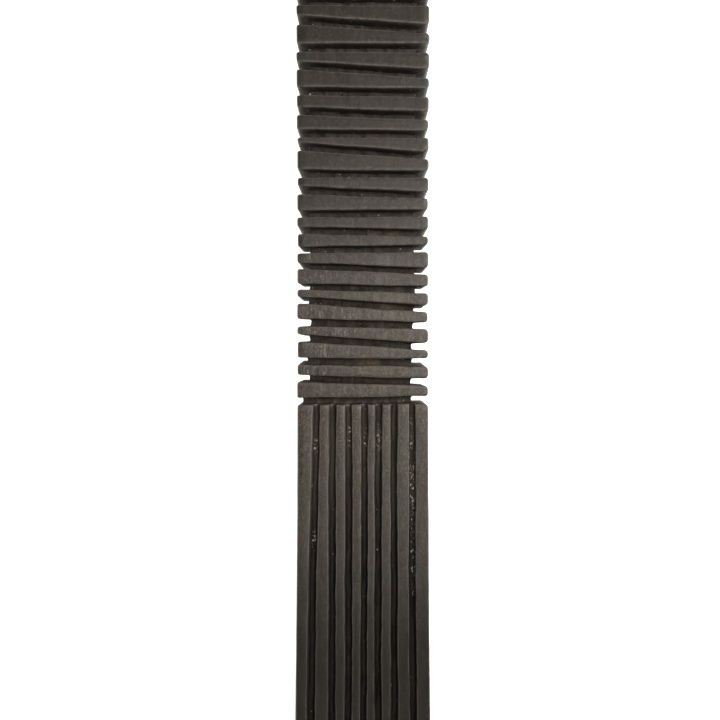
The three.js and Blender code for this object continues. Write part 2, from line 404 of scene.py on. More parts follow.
def section_columns(x):
    """The bar's plain section at each ring: y and z, and each column's inward way, flute depth and wear."""
    half_width = bar_half_width(x)
    top = bar_top(x)
    low = top - THICK
    reach = half_width - ARRIS
    zero = np.zeros_like(x)
    front_rows = flute_rows(SIDE_FLUTES, x, 50)
    back_rows = [(THICK - middle, half) for middle, half in reversed(flute_rows(SIDE_FLUTES, x, 60))]
    y, z, inward_y, inward_z, depth, wear = [], [], [], [], [], []

    def add(*column):
        for values, value in zip((y, z, inward_y, inward_z, depth, wear), column):
            values.append(value)

    def corner(side, up):
        for angle in (math.radians(25), math.radians(65)):
            turn = (side < 0) == (up > 0)
            out, rise = (math.sin(angle), math.cos(angle)) if turn else (math.cos(angle), math.sin(angle))
            centre = top - ARRIS if up > 0 else low + ARRIS
            add(side * (reach + ARRIS * out), centre + up * ARRIS * rise, -side * out, -up * rise, 0, 1)

    def face(columns, place, inward, deep):
        for across, i, share, worn in columns:
            at_y, at_z = place(across)
            add(at_y + zero, at_z + zero, *inward, share * deep, worn)

    side_ends = (ARRIS + zero, THICK - ARRIS + zero)
    top_columns = face_columns(-reach, reach, flute_rows(TOP_FLUTES, x, 40), FLUTE_SECTION, (0.5,))
    face(top_columns, lambda a: (-a, top), (0, -1), FLUTE_DEEP_TOP)
    corner(-1, 1)
    face(face_columns(*side_ends, front_rows, SIDE_FLUTE_SECTION, (0.5,)), lambda a: (-half_width, top - a),
         (1, 0), FLUTE_DEEP_SIDE)
    corner(-1, -1)
    face(face_columns(-reach, reach, [], (), np.linspace(0, 1, 20)[1:-1]), lambda a: (a, low), (0, 1), 0)
    corner(1, -1)
    face(face_columns(*side_ends, back_rows, SIDE_FLUTE_SECTION, (0.5,)), lambda a: (half_width, low + a),
         (-1, 0), FLUTE_DEEP_SIDE)
    corner(1, 1)
    return (np.stack(y, 1), np.stack(z, 1), np.array(inward_y), np.array(inward_z), np.array(depth),
            np.array(wear))


def blobs(points, spots):
    """A soft mark round each spot: x, y and z, and its size along each, in millimetres."""
    total = np.zeros(points.shape[:-1])
    for centre, size in spots:
        away = (points - np.array(centre) * MM) / (np.array(size) * MM)
        total += np.exp(-(away ** 2).sum(-1))
    return np.clip(total, 0, 1)


# Marks on the bar, each given by its middle and its reach along X, Y and Z, in millimetres: ochre, stains
# and scratches of use, pale dust in the flutes that is partly painted glints, and painted glints on the
# arrises of some cuts.
OCHRE = [
    ((117, -1, 124), (4, 14, 5)),
    ((59, -14, 124), (4, 13, 5)),
    ((17, -9, 124), (4, 8, 5)),
    ((5.5, -6, 124), (4, 7, 5)),
    ((-16, -6, 124), (4, 8, 5)),
]
# Pale dust in the flutes, partly painted glints.
DUST_AND_GLINTS = [
    ((-63, -28.0, 128), (13, 1.7, 9)),
    ((-65, -27.9, 127), (8, 1.0, 9)),
    ((-88, -28.9, 128), (20, 1.5, 9)),
    ((-112, -29.2, 128), (20, 1.1, 9)),
    ((-138, -29.4, 128), (16, 0.9, 9)),
    ((-62, -9.6, 128), (11, 1.4, 9)),
    ((-63, -1.4, 128), (6, 1.2, 9)),
    ((-60, 8.0, 128), (6, 1.3, 9)),
    ((-120, 28.6, 128), (6, 1.2, 9)),
    ((-66, 27.8, 128), (6, 1.3, 9)),
]
STAINS = [
    ((20.5, -33.7, 132), (2.4, 2.0, 5)),
    ((10.5, -33.5, 132), (2.2, 2.0, 5)),
    ((-10.5, -29.8, 132), (3.0, 2.2, 5)),
    ((45, -33, 132), (2.6, 2.2, 5)),
    ((-21, 25.7, 132), (2.2, 3.0, 5)),
    ((146.6, -34.5, 134), (4.0, 1.2, 5)),
]
# Painted glints: small painted highlights on the arrises of some cuts.
GLINTS = [((x, 31.5, 125), (3, 1.6, 6)) for x in (128, 141, 154, 166)] + [((154, -10, 124), (2, 2, 4))]
SCRATCHES = [
    ((46, 30, 131), (5, 5, 5)),
    ((34, 27, 131), (6, 7, 5)),
    ((13, 19, 131), (8, 17, 5)),
    ((2, 17, 131), (6, 17, 5)),
    ((-9, 23, 131), (7, 12, 5)),
    ((-21, 26, 131), (6, 10, 5)),
]


def nominal_places(stations):
    """Where each ring lies along the bar's middle line, before the slope and wander of its cut."""
    middles = [(back + front) / 2 * MM for back, front, *_ in CUTS]
    places = []
    for s in stations:
        if "cut" in s:
            places.append(middles[s["cut"]] + s["across"] * NOMINAL_CUT_HALF)
        elif "between" in s:
            k = s["between"]
            places.append(middles[k] + (middles[k + 1] - middles[k]) * s["share"])
        else:
            places.append(s["x"])
    return np.array(places)


def lay_rings(stations, nominal, y, z, soft):
    """Every point's place along the bar, how far it is sunk in a cut and its wear, and each ring's rib."""
    x = np.repeat(nominal[:, None], y.shape[1], 1)
    sunk = np.zeros_like(x)
    worn = np.zeros_like(x)
    rib = np.zeros(len(stations), int)
    edge = CUT_SECTION[-1][1] * MM * soft
    for i, s in enumerate(stations):
        if "cut" in s:
            middle, half = cut_line(s["cut"], y[i], z[i])
            x[i] = middle + s["across"] * half + s["further"] * MM * soft
            sunk[i] = s["depth"] * np.where(s["depth"] < 0.2, soft, 1)
            worn[i] = s["wear"]
            rib[i] = s["cut"] + (1 if s["across"] > 0 else 0)
        elif "between" in s:
            k = s["between"]
            (middle_a, half_a), (middle_b, half_b) = cut_line(k, y[i], z[i]), cut_line(k + 1, y[i], z[i])
            start = middle_a + half_a + edge
            end = middle_b - half_b - edge
            x[i] = start + (end - start) * s["share"]
            rib[i] = k + 1
        else:
            rib[i] = 0 if s["x"] < 0 else len(CUTS)
    return x, sunk, worn, rib


def rib_stand(rib, inward_y, inward_z, spot, worn):
    """How far each point stands out: ribs differ, faces aren't flat, and worn arrises are chipped."""
    stand = np.full(spot.shape[:-1], -STAND_BACK)
    for outward, spread in ((-inward_z, 0.16), (inward_y, 0.1), (-inward_y, 0.1)):
        direction = np.clip(outward, 0, 1)
        step = rng.normal(0, spread * MM, len(CUTS) + 1)
        step[:2] = 0
        step[-1] = 0
        stand += step[rib][:, None] * direction
    stand += 0.11 * MM * lattice_noise(spot, 0.028, 13) + 0.06 * MM * lattice_noise(spot, 0.007, 14)
    chips = np.clip(lattice_noise(spot, 0.0028, 15) - 0.3, 0, 1) * (worn > 0.5)
    return stand - 0.55 * MM * chips


def end_faces(vertices, first_ring, last_ring):
    """The bar's two end faces, as rings that close on a middle point: the added vertices, and the faces."""
    added, faces = [], []
    columns = len(first_ring)
    for ring, side in ((first_ring, -1), (last_ring, 1)):
        rim = vertices[ring]
        middle = rim.mean(0)
        before = list(ring)
        for share in (0.86, 0.66, 0.44, 0.22):
            at = middle + (rim - middle) * share
            at[:, 0] += side * 0.25 * MM * lattice_noise(at, 0.006, 16)
            first = len(vertices) + len(added)
            added += list(at)
            here = list(range(first, first + columns))
            for a in range(columns):
                b = (a + 1) % columns
                quad = (before[a], before[b], here[b], here[a])
                faces.append(quad if side > 0 else quad[::-1])
            before = here
        added.append(middle)
        tip = len(vertices) + len(added) - 1
        for a in range(columns):
            face = (before[a], before[(a + 1) % columns], tip)
            faces.append(face if side > 0 else face[::-1])
    return added, faces


def carved_crossbar():
    """The crossbar with its cuts, flutes and wear, before its joints are cut."""
    stations = bar_stations()
    nominal = nominal_places(stations)
    y, z, inward_y, inward_z, depth, flute_wear = section_columns(nominal)
    soft = 1 + np.abs(inward_y) * np.where(inward_y > 0, SOFT_FRONT, SOFT_BACK)
    x, sunk, worn, rib = lay_rings(stations, nominal, y, z, soft)
    spot = stack(x, y, z)

    fluted = ((nominal < FLUTES_FROM) & (nominal > FLUTES_TO))[:, None]
    full_depth = np.where(np.abs(inward_z) > 0.5, FLUTE_DEEP_TOP, FLUTE_DEEP_SIDE)
    flute_share = np.where(fluted, depth / full_depth, 0)
    rough = 0.12 * lattice_noise(spot, 0.006, 11) + 0.08 * lattice_noise(spot, 0.0025, 12)
    flute_depth = flute_share * full_depth * (1 + rough * (flute_share > 0.8))

    corner = np.abs(inward_y * inward_z) > 0.1
    worn = np.clip(worn + flute_wear * (corner | fluted) * (sunk < 0.5), 0, 1)
    stand = rib_stand(rib, inward_y, inward_z, spot, worn)
    outer_y = y + inward_y * (flute_depth - stand)
    outer_z = z + inward_z * (flute_depth - stand)
    inset = np.array([s.get("inset", 0) for s in stations])[:, None]
    centre_z = (bar_top(nominal) - THICK / 2)[:, None]
    half_width = bar_half_width(nominal)[:, None]
    outer_y = outer_y * (1 - inset / half_width)
    outer_z = centre_z + (outer_z - centre_z) * (1 - inset / (THICK / 2))

    cut_of = [s.get("cut", s.get("between", 0)) for s in stations]
    shares = np.array([SIDE_DEPTHS.get(k, USUAL_DEPTHS) for k in range(len(CUTS))])
    back_share, front_share = (shares + rng.normal(0, 0.03, shares.shape))[cut_of].T[..., None]
    core_y = y * (1 - CUT_DEEP_SIDE * np.where(y < 0, front_share, back_share) / half_width)
    core_z = centre_z + (z - centre_z) * (1 - CUT_DEEP_TOP / (THICK / 2))
    deep = sunk * (1 + rough * 0.9 * (sunk > 0.9))
    place_y = outer_y + (core_y - outer_y) * deep
    place_z = outer_z + (core_z - outer_z) * deep
    placed = stack(x, place_y, place_z)
    vertices = placed.reshape(-1, 3)

    index = np.arange(len(vertices)).reshape(x.shape)
    around = np.roll(index, -1, axis=1)
    faces = np.stack([index[:-1], around[:-1], around[1:], index[1:]], -1).reshape(-1, 4).tolist()
    added, end_quads = end_faces(vertices, index[0], index[-1])
    faces += end_quads
    on_face = (sunk < 0.3) & (flute_share < 0.3)
    values = {
        "sunk": sunk,
        "fluted": flute_share,
        "worn": worn,
        "ochre": blobs(placed, OCHRE) * (sunk > 0.9),
        "dust_and_glints": blobs(placed, DUST_AND_GLINTS) * (flute_share > 0.3),
        "stained": blobs(placed, STAINS) * on_face,
        "scratched": blobs(placed, SCRATCHES) * on_face,
        "glint": blobs(placed, GLINTS),
    }
    bar = mesh_object("carved_crossbar", np.concatenate([vertices, added]), faces, 48)
    for key, value in values.items():
        store(bar.data, key, np.concatenate([value.ravel(), np.zeros(len(added))]))
    return bar


def peg_centres(end):
    """The x and z of one end's two pegs."""
    centres = []
    for place in ("inner", "outer"):
        low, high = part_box(f"{end}_{place}_peg")
        centres.append(((low.x + high.x) / 2, (low.z + high.z) / 2))
    return centres


def fit_joints(bar):
    """The seats, mortises, peg holes and lashing seats of the crossbar."""
    below, above = 50 * MM, 200 * MM
    head = HEAD_HALF_LENGTH + FIT
    half = TENON_HALF_LENGTH + FIT
    wide = TENON_HALF_WIDTH + FIT
    under = SEAT_TOP - 0.01 * MM
    seats, mortises, bands, holes = [], [], [], []
    for end in ENDS:
        low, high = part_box(f"{end}_foot")
        middle = (low.x + high.x) / 2
        seats.append(((middle - head, -BEYOND, below), (middle + head, BEYOND, FOOT_TOP + FIT)))
        mortises.append(((middle - half, -wide, FOOT_TOP - MM), (middle + half, wide, high.z + FIT)))
        low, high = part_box(f"{end}_lashing")
        x0, x1 = low.x - FIT, high.x + FIT
        bands.append(((x0, -BEYOND, SEAT_TOP), (x1, BEYOND, above)))
        bands.append(((x0, -BEYOND, below), (x1, -SEAT_HALF_WIDTH, under)))
        bands.append(((x0, SEAT_HALF_WIDTH, below), (x1, BEYOND, under)))
        holes += peg_centres(end)
    boolean(bar, join_boxes("seats", seats))
    boolean(bar, join_boxes("mortises", mortises))
    for i in range(3):
        boolean(bar, join_boxes("bands", bands[i::3]))
    boolean(bar, rods("holes", holes, PEG_HOLE_RADIUS, BEYOND))


# ---- Feet ----
FOOT_VOXEL = 1.1 * MM
ADZE_STROKE = (7.5, 8.5, 13)  # how far apart the adze's hollows lie along X, Y and Z, in millimetres


def quadratic(start, control, end, steps):
    """Points along a quadratic curve, without its start."""
    t = np.linspace(0, 1, steps + 1)[1:, None]
    start, control, end = (np.array(point, float) for point in (start, control, end))
    return ((1 - t) ** 2 * start + 2 * t * (1 - t) * control + t ** 2 * end).tolist()


def foot_outline():
    """A foot seen from the bar's end, in millimetres: y and z."""
    top = FOOT_TOP / MM
    outside = [(44, 0), (44, 6.5)]
    outside += quadratic((44, 6.5), (31, 30), (27.5, 60), 12)
    outside += quadratic((27.5, 60), (26.5, 76), (30.2, 87.2), 8)
    outside += [(30.4, 91), (34, 100), (34, top)]
    arch = [(22, 0), (22, 5)]
    arch += quadratic((22, 5), (15, 24), (13, 44), 10)
    for angle in np.linspace(0, math.pi / 2, 9)[1:]:
        arch.append((13 * math.cos(angle), 44 + 13 * math.sin(angle)))
    outline = outside + [(-y, z) for y, z in reversed(outside)]
    return outline + [(-y, z) for y, z in arch] + arch[-2::-1]


def foot_thickness():
    """A foot seen from the bar's side, in millimetres: x and z."""
    top = FOOT_TOP / MM
    half = [(17, 0), (17, 6.5)]
    half += quadratic((17, 6.5), (13.2, 26), (15, 56), 10)
    head = HEAD_HALF_LENGTH / MM
    half += quadratic((15, 56), (16.5, 76), (head, 86), 8)
    half += [(head, top)]
    return half + [(-x, z) for x, z in reversed(half)]


def prism(name, outline, axis, half):
    """A closed solid of an outline in millimetres, reaching half each way along X or Y."""
    count = len(outline)
    vertices = []
    for reach in (-half, half):
        for across, z in outline:
            vertices.append((reach, across * MM, z * MM) if axis == "X" else (across * MM, reach, z * MM))
    faces = [list(range(count)), list(range(2 * count - 1, count - 1, -1))]
    for k in range(count):
        after = (k + 1) % count
        faces.append((k, count + k, count + after, after))
    piece = mesh_object(name, vertices, faces)
    face_out(piece)
    return piece


def face_out(piece):
    """Turns every face outwards."""
    shape = bmesh.new()
    shape.from_mesh(piece.data)
    bmesh.ops.recalc_face_normals(shape, faces=shape.faces)
    shape.to_mesh(piece.data)
    shape.free()


def places_of(mesh):
    places = np.empty(len(mesh.vertices) * 3)
    mesh.vertices.foreach_get("co", places)
    return places.reshape(-1, 3)


def normals_of(mesh):
    normals = np.empty(len(mesh.vertices) * 3)
    mesh.vertices.foreach_get("normal", normals)
    return normals.reshape(-1, 3)


def outward_curve(mesh, passes=3):
    """How sharply the surface turns outwards at each vertex, from about -1 to 1, evened out."""
    places, normals = places_of(mesh), normals_of(mesh)
    edges = np.empty(len(mesh.edges) * 2, int)
    mesh.edges.foreach_get("vertices", edges)
    a, b = edges.reshape(-1, 2).T
    degree = np.bincount(edges, minlength=len(places))

    def neighbours(values):
        total = np.zeros_like(values)
        np.add.at(total, a, values[b])
        np.add.at(total, b, values[a])
        return total / np.maximum(degree, 1).reshape((-1,) + (1,) * (values.ndim - 1))

    turn = ((places - neighbours(places)) * normals).sum(-1)
    for _ in range(passes):
        turn = (turn + neighbours(turn)) / 2
    length = np.linalg.norm(places[a] - places[b], axis=1).mean()
    return turn / length * 8


def smooth_step(value, low, high):
    share = np.clip((value - low) / (high - low), 0, 1)
    return share * share * (3 - 2 * share)


def carved_foot(end):
    """An adzed foot on its two soles, with its arch, the slot for the lashing and the stub tenon."""
    low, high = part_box(f"{end}_foot")
    middle = (low.x + high.x) / 2
    foot = prism(f"{end}_carved_foot", foot_outline(), "X", 30 * MM)
    boolean(foot, prism("thickness", foot_thickness(), "Y", BEYOND), "INTERSECT")
    band_low, band_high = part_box(f"{end}_lashing")
    slot_half = (band_high.x - band_low.x) / 2 + FIT
    boolean(foot, join_boxes("slot", [((-slot_half, -BEYOND, SLOT_BOTTOM), (slot_half, BEYOND, SLOT_TOP))]))
    tenon_low = (-TENON_HALF_LENGTH, -TENON_HALF_WIDTH, FOOT_TOP - MM)
    tenon_high = (TENON_HALF_LENGTH, TENON_HALF_WIDTH, high.z)
    boolean(foot, join_boxes("tenon", [(tenon_low, tenon_high)]), "UNION")
    remesh = foot.modifiers.new("even", "REMESH")
    remesh.mode = "VOXEL"
    remesh.voxel_size = FOOT_VOXEL
    smooth = foot.modifiers.new("soften", "SMOOTH")
    smooth.factor = 0.5
    smooth.iterations = 3
    apply_modifiers(foot)

    mesh = foot.data
    places, normals = places_of(mesh), normals_of(mesh)
    seed = ENDS.index(end) + 70
    z = places[:, 2]
    carved = smooth_step(z, 1 * MM, 4 * MM) * (1 - smooth_step(z, FOOT_TOP - 2.5 * MM, FOOT_TOP - 0.5 * MM))
    strokes = nearest_seed(places, np.array(ADZE_STROKE) * MM, seed)
    hollow = np.clip(1 - strokes, 0, 1) ** 1.5
    dent = 0.55 * MM * hollow + 0.12 * MM * (1 + lattice_noise(places, 0.018, seed)) / 2
    places = places - normals * (dent * carved)[:, None]
    places[:, 2] = np.where(places[:, 2] < 0.35 * MM, 0, places[:, 2])
    places[:, 0] += middle
    mesh.vertices.foreach_set("co", places.ravel())
    mesh.update()
    store(mesh, "turn", outward_curve(mesh))
    boolean(foot, rods("holes", peg_centres(end), PEG_HOLE_RADIUS, BEYOND))
    foot.data.shade_smooth()
    foot.data.set_sharp_from_angle(angle=math.radians(55))
    return foot


# ---- Lashings: five turns of a three-strand braid, over the bar and through the foot ----
TURNS = 5
TURN_PITCH = 3.6 * MM
BRAID_PITCH = 9.5 * MM  # along the braid, from one crossing of a strand to the same crossing again
BRAID_HALF_WIDTH = 1.0 * MM  # how far a strand's middle swings to each side
BRAID_HALF_THICK = 0.55 * MM
STRAND_RADIUS = 0.82 * MM
STRAND_SIDES = 8
PATH_STEP = 0.2 * MM
STRAND_EVERY = 4  # steps of the path from one ring of a strand to the next


def lashing_loop():
    """Evenly spaced points in y and z, once round the bar and through the middle of the slot."""
    away = BRAID_HALF_THICK + STRAND_RADIUS + 0.05 * MM
    low = SLOT_TOP - away
    side = SEAT_HALF_WIDTH + away
    top = SEAT_TOP + away
    corners = [((31.3 * MM, low), 5 * MM), ((side, 100 * MM), 6 * MM), ((side, top), 3.2 * MM)]
    corners += [((-y, z), reach) for (y, z), reach in reversed(corners)]
    points = [np.array((0, low))]
    around = [points[0]] + [np.array(corner) for corner, _ in corners] + [points[0]]
    for k, (corner, reach) in enumerate(corners):
        corner = np.array(corner)
        to_before = around[k] - corner
        to_after = around[k + 2] - corner
        start = corner + to_before / np.linalg.norm(to_before) * reach
        end = corner + to_after / np.linalg.norm(to_after) * reach
        points.append(start)
        points += [np.array(point) for point in quadratic(start, corner, end, 10)]
    points.append(np.array((0, low)))
    return even_out(np.array(points), PATH_STEP)


def even_out(points, step):
    """The same path with its points evenly spaced."""
    lengths = np.linalg.norm(np.diff(points, axis=0), axis=1)
    along = np.concatenate([[0], np.cumsum(lengths)])
    places = np.linspace(0, along[-1], int(along[-1] / step) + 1)
    return np.stack([np.interp(places, along, values) for values in points.T], 1)


def lashing_path(end):
    """The whole braid's middle line, its turns side by side, and its outward direction at each point."""
    low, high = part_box(f"{end}_lashing")
    middle = (low.x + high.x) / 2
    loop = lashing_loop()
    count = len(loop)
    outward = np.gradient(loop, axis=0)
    outward = np.stack([outward[:, 1], -outward[:, 0]], 1)
    outward /= np.linalg.norm(outward, axis=1)[:, None]
    places, directions = [], []
    for turn in range(TURNS):
        share = np.arange(count) / count
        crossing = smooth_step(share, 0.88, 1.0) * 0.5 - (1 - smooth_step(share, 0.0, 0.12)) * 0.5
        if turn == 0:
            crossing = np.maximum(crossing, 0)
        if turn == TURNS - 1:
            crossing = np.minimum(crossing, 0)
        x = middle + (turn - (TURNS - 1) / 2 + crossing) * TURN_PITCH
        places.append(np.stack([x, loop[:, 0], loop[:, 1]], 1))
        directions.append(np.stack([np.zeros(count), outward[:, 0], outward[:, 1]], 1))
    places, directions = np.concatenate(places), np.concatenate(directions)
    seed = ENDS.index(end) + 80
    places[:, 0] += 0.12 * MM * lattice_noise(places, 0.012, seed)
    places += directions * (0.12 * MM * lattice_noise(places, 0.009, seed + 1))[:, None]
    return places, directions


def braided_lashing(end):
    """The lashing of one end, as three strands that pass over and under each other."""
    places, outward = lashing_path(end)
    along = np.arange(len(places)) * PATH_STEP
    vertices, faces, uv = [], [], []
    for strand in range(3):
        phase = 2 * math.pi * (along / BRAID_PITCH + strand / 3)
        middle = places + outward * (BRAID_HALF_THICK * np.sin(2 * phase))[:, None]
        middle[:, 0] += BRAID_HALF_WIDTH * np.sin(phase)
        middle = middle[::STRAND_EVERY]
        tangent = np.gradient(middle, axis=0)
        tangent /= np.linalg.norm(tangent, axis=1)[:, None]
        side = np.cross(tangent, outward[::STRAND_EVERY])
        side /= np.linalg.norm(side, axis=1)[:, None]
        up = np.cross(side, tangent)
        first = len(vertices)
        rings = len(middle)
        swell = 1 + 0.07 * lattice_noise(middle, 0.004, 90 + strand)
        for k in range(STRAND_SIDES):
            angle = 2 * math.pi * k / STRAND_SIDES
            ring = side * math.cos(angle) * 1.06 + up * math.sin(angle) * 0.94
            vertices += list(middle + ring * (STRAND_RADIUS * swell)[:, None])
        for k in range(STRAND_SIDES):
            a, b = first + k * rings, first + (k + 1) % STRAND_SIDES * rings
            for i in range(rings - 1):
                faces.append((a + i, b + i, b + i + 1, a + i + 1))
                u0, u1 = k / STRAND_SIDES, (k + 1) / STRAND_SIDES
                v0, v1 = along[i * STRAND_EVERY] / MM, along[(i + 1) * STRAND_EVERY] / MM
                uv += [(u0, v0), (u1, v0), (u1, v1), (u0, v1)]
        for i, step in ((0, 1), (rings - 1, -1)):
            cap = [first + k * rings + i for k in range(STRAND_SIDES)]
            faces.append(cap[::-step])
            uv += [(0, 0)] * STRAND_SIDES
    piece = mesh_object(f"{end}_braided_lashing", vertices, faces, 70)
    layer = piece.data.uv_layers.new(name="strand")
    layer.data.foreach_set("uv", np.array(uv, np.float32).ravel())
    face_out(piece)
    piece.data.shade_smooth()
    return piece


# ---- Pegs ----
def whittled_peg(end, place):
    """A peg with nine whittled facets and slightly domed, chamfered ends."""
    low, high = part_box(f"{end}_{place}_peg")
    x, z = (low.x + high.x) / 2, (low.z + high.z) / 2
    radius, half = (high.z - low.z) / 2, high.y
    seed = 100 + 2 * ENDS.index(end) + ("inner", "outer").index(place)
    sides, facets = 54, 9
    tip = [(0, 0.25), (0.05, 0.55), (0.2, 0.78), (0.5, 0.92), (1.0, 0.99)]
    rings = [(half - down * MM, share) for down, share in tip]
    rings += [(y, 1) for y in np.linspace(half - 2 * MM, -half + 2 * MM, 40)]
    rings += [(-half + down * MM, share) for down, share in reversed(tip)]
    angle = 2 * math.pi * np.arange(sides) / sides
    drifts = 0.25 * lattice_noise(stack([y for y, _ in rings], 0.3), 0.03, seed)
    vertices, faces = [], []
    for (y, share), drift in zip(rings, drifts):
        within = (angle + drift) % (2 * math.pi / facets) - math.pi / facets
        reach = radius * share * (math.cos(math.pi / facets) / np.cos(within) * 0.6 + 0.4)
        spot = stack(np.cos(angle) * 0.003, y, np.sin(angle) * 0.003)
        reach = reach * (1 - 0.025 * (1 + lattice_noise(spot, 0.006, seed)))
        vertices += list(stack(x + reach * np.cos(angle), y, z + reach * np.sin(angle)))
    for i in range(len(rings) - 1):
        faces += ring_quads(i * sides, (i + 1) * sides, sides)
    last = (len(rings) - 1) * sides
    for first, y in ((0, half), (last, -half)):
        vertices.append((x, y, z))
        tip_index = len(vertices) - 1
        for k in range(sides):
            faces.append((first + k, first + (k + 1) % sides, tip_index))
    piece = mesh_object(f"{end}_{place}_whittled_peg", vertices, faces, 30)
    face_out(piece)
    return piece


# ---- Materials ----
class Shader:
    """A short way to write a material's nodes."""

    def __init__(self, name):
        self.material = bpy.data.materials.new(name)
        self.material.use_nodes = True
        self.tree = self.material.node_tree
        self.surface = self.tree.nodes["Principled BSDF"]
        self.place = self.node("TexCoord").outputs["Object"]

    def node(self, kind, settings=None, **inputs):
        made = self.tree.nodes.new("ShaderNode" + kind)
        for key, value in (settings or {}).items():
            setattr(made, key, value)
        for key, value in inputs.items():
            self.feed(made, key.replace("_", " "), value)
        return made

    def feed(self, made, key, value):
        socket = made.inputs[key]
        if hasattr(value, "links"):
            self.tree.links.new(value, socket)
        else:
            socket.default_value = value

    def noise(self, scale, detail, roughness=0.55, distortion=0.0, shift=(0, 0, 0)):
        """Noise with this many lumps to a metre along each axis."""
        lumps = self.node("Mapping", Vector=self.place, Scale=scale, Location=shift).outputs["Vector"]
        made = self.node("TexNoise", Vector=lumps, Scale=1.0, Detail=detail, Roughness=roughness,
                         Distortion=distortion)
        return made.outputs["Fac"]

    def ramp(self, value, low, high, to_low=0.0, to_high=1.0):
        made = self.node("MapRange", {"interpolation_type": "SMOOTHSTEP"})
        for i, number in enumerate((value, low, high, to_low, to_high)):
            self.feed(made, i, number)
        return made.outputs["Result"]

    def math(self, operation, a, b=0.0):
        made = self.node("Math", {"operation": operation})
        self.feed(made, 0, a)
        self.feed(made, 1, b)
        return made.outputs["Value"]

    def product(self, first, *others):
        for other in others:
            first = self.math("MULTIPLY", first, other)
        return first

    def vector_math(self, operation, a, b=(0, 0, 0), output="Vector"):
        made = self.node("VectorMath", {"operation": operation})
        self.feed(made, 0, a)
        self.feed(made, 1, b)
        return made.outputs[output]

    def mix(self, share, a, b):
        made = self.node("Mix", {"data_type": "RGBA"})
        self.feed(made, 0, share)
        self.feed(made, 6, a)
        self.feed(made, 7, b)
        return made.outputs[2]

    def attribute(self, name):
        return self.node("Attribute", {"attribute_name": name}).outputs["Fac"]

    def bump(self, height, strength, distance, normal=None):
        made = self.node("Bump", Height=height, Strength=strength, Distance=distance)
        if normal:
            self.feed(made, "Normal", normal)
        return made.outputs["Normal"]

    def set(self, **sockets):
        for key, value in sockets.items():
            self.feed(self.surface, key.replace("_", " "), value)

    def towards_ends(self, along, *spans):
        """The sum of ramps along the bar, each from one place to another, in millimetres, up to a height."""
        total = 0.0
        for start, end, height in spans:
            total = self.math("ADD", total, self.ramp(along, start * MM, end * MM, 0, height))
        return total

    def growth_rings(self, across, pith, spacing):
        """From 0 to 1 across each growth ring: across is 1 on the two axes that cross the grain."""
        wander = self.noise((14, 14, 14), 3, 0.5)
        from_pith = self.vector_math("SUBTRACT", self.vector_math("MULTIPLY", self.place, across), pith)
        away = self.vector_math("LENGTH", from_pith, output="Value")
        away = self.math("ADD", away, self.math("MULTIPLY", wander, 9 * MM))
        return self.math("FRACT", self.math("DIVIDE", away, spacing))


def rgb(red, green, blue):
    return (red, green, blue, 1)


# The fine checks along the top face, in millimetres: place across the bar, and where each starts and ends.
CHECKS = [(28.4, -24, 46), (-30.8, 118, 166), (4, -228, -150)]


def check_line(s, across, x_from, x_to):
    """A fine dark check along the grain of the top face, between two places along the bar."""
    x, y, _ = (s.node("SeparateXYZ", Vector=s.place).outputs[k] for k in range(3))
    wander = s.math("SUBTRACT", s.noise((70, 0, 0), 3, shift=(across * 900, 3, 3)), 0.5)
    wander = s.product(wander, 2.6 * MM)
    away = s.math("ABSOLUTE", s.math("SUBTRACT", s.math("SUBTRACT", y, across), wander))
    line = s.ramp(away, 0.08 * MM, 0.3 * MM, 1, 0)
    return s.product(line, s.ramp(x, x_from, x_from + 8 * MM), s.ramp(x, x_to - 8 * MM, x_to, 1, 0))


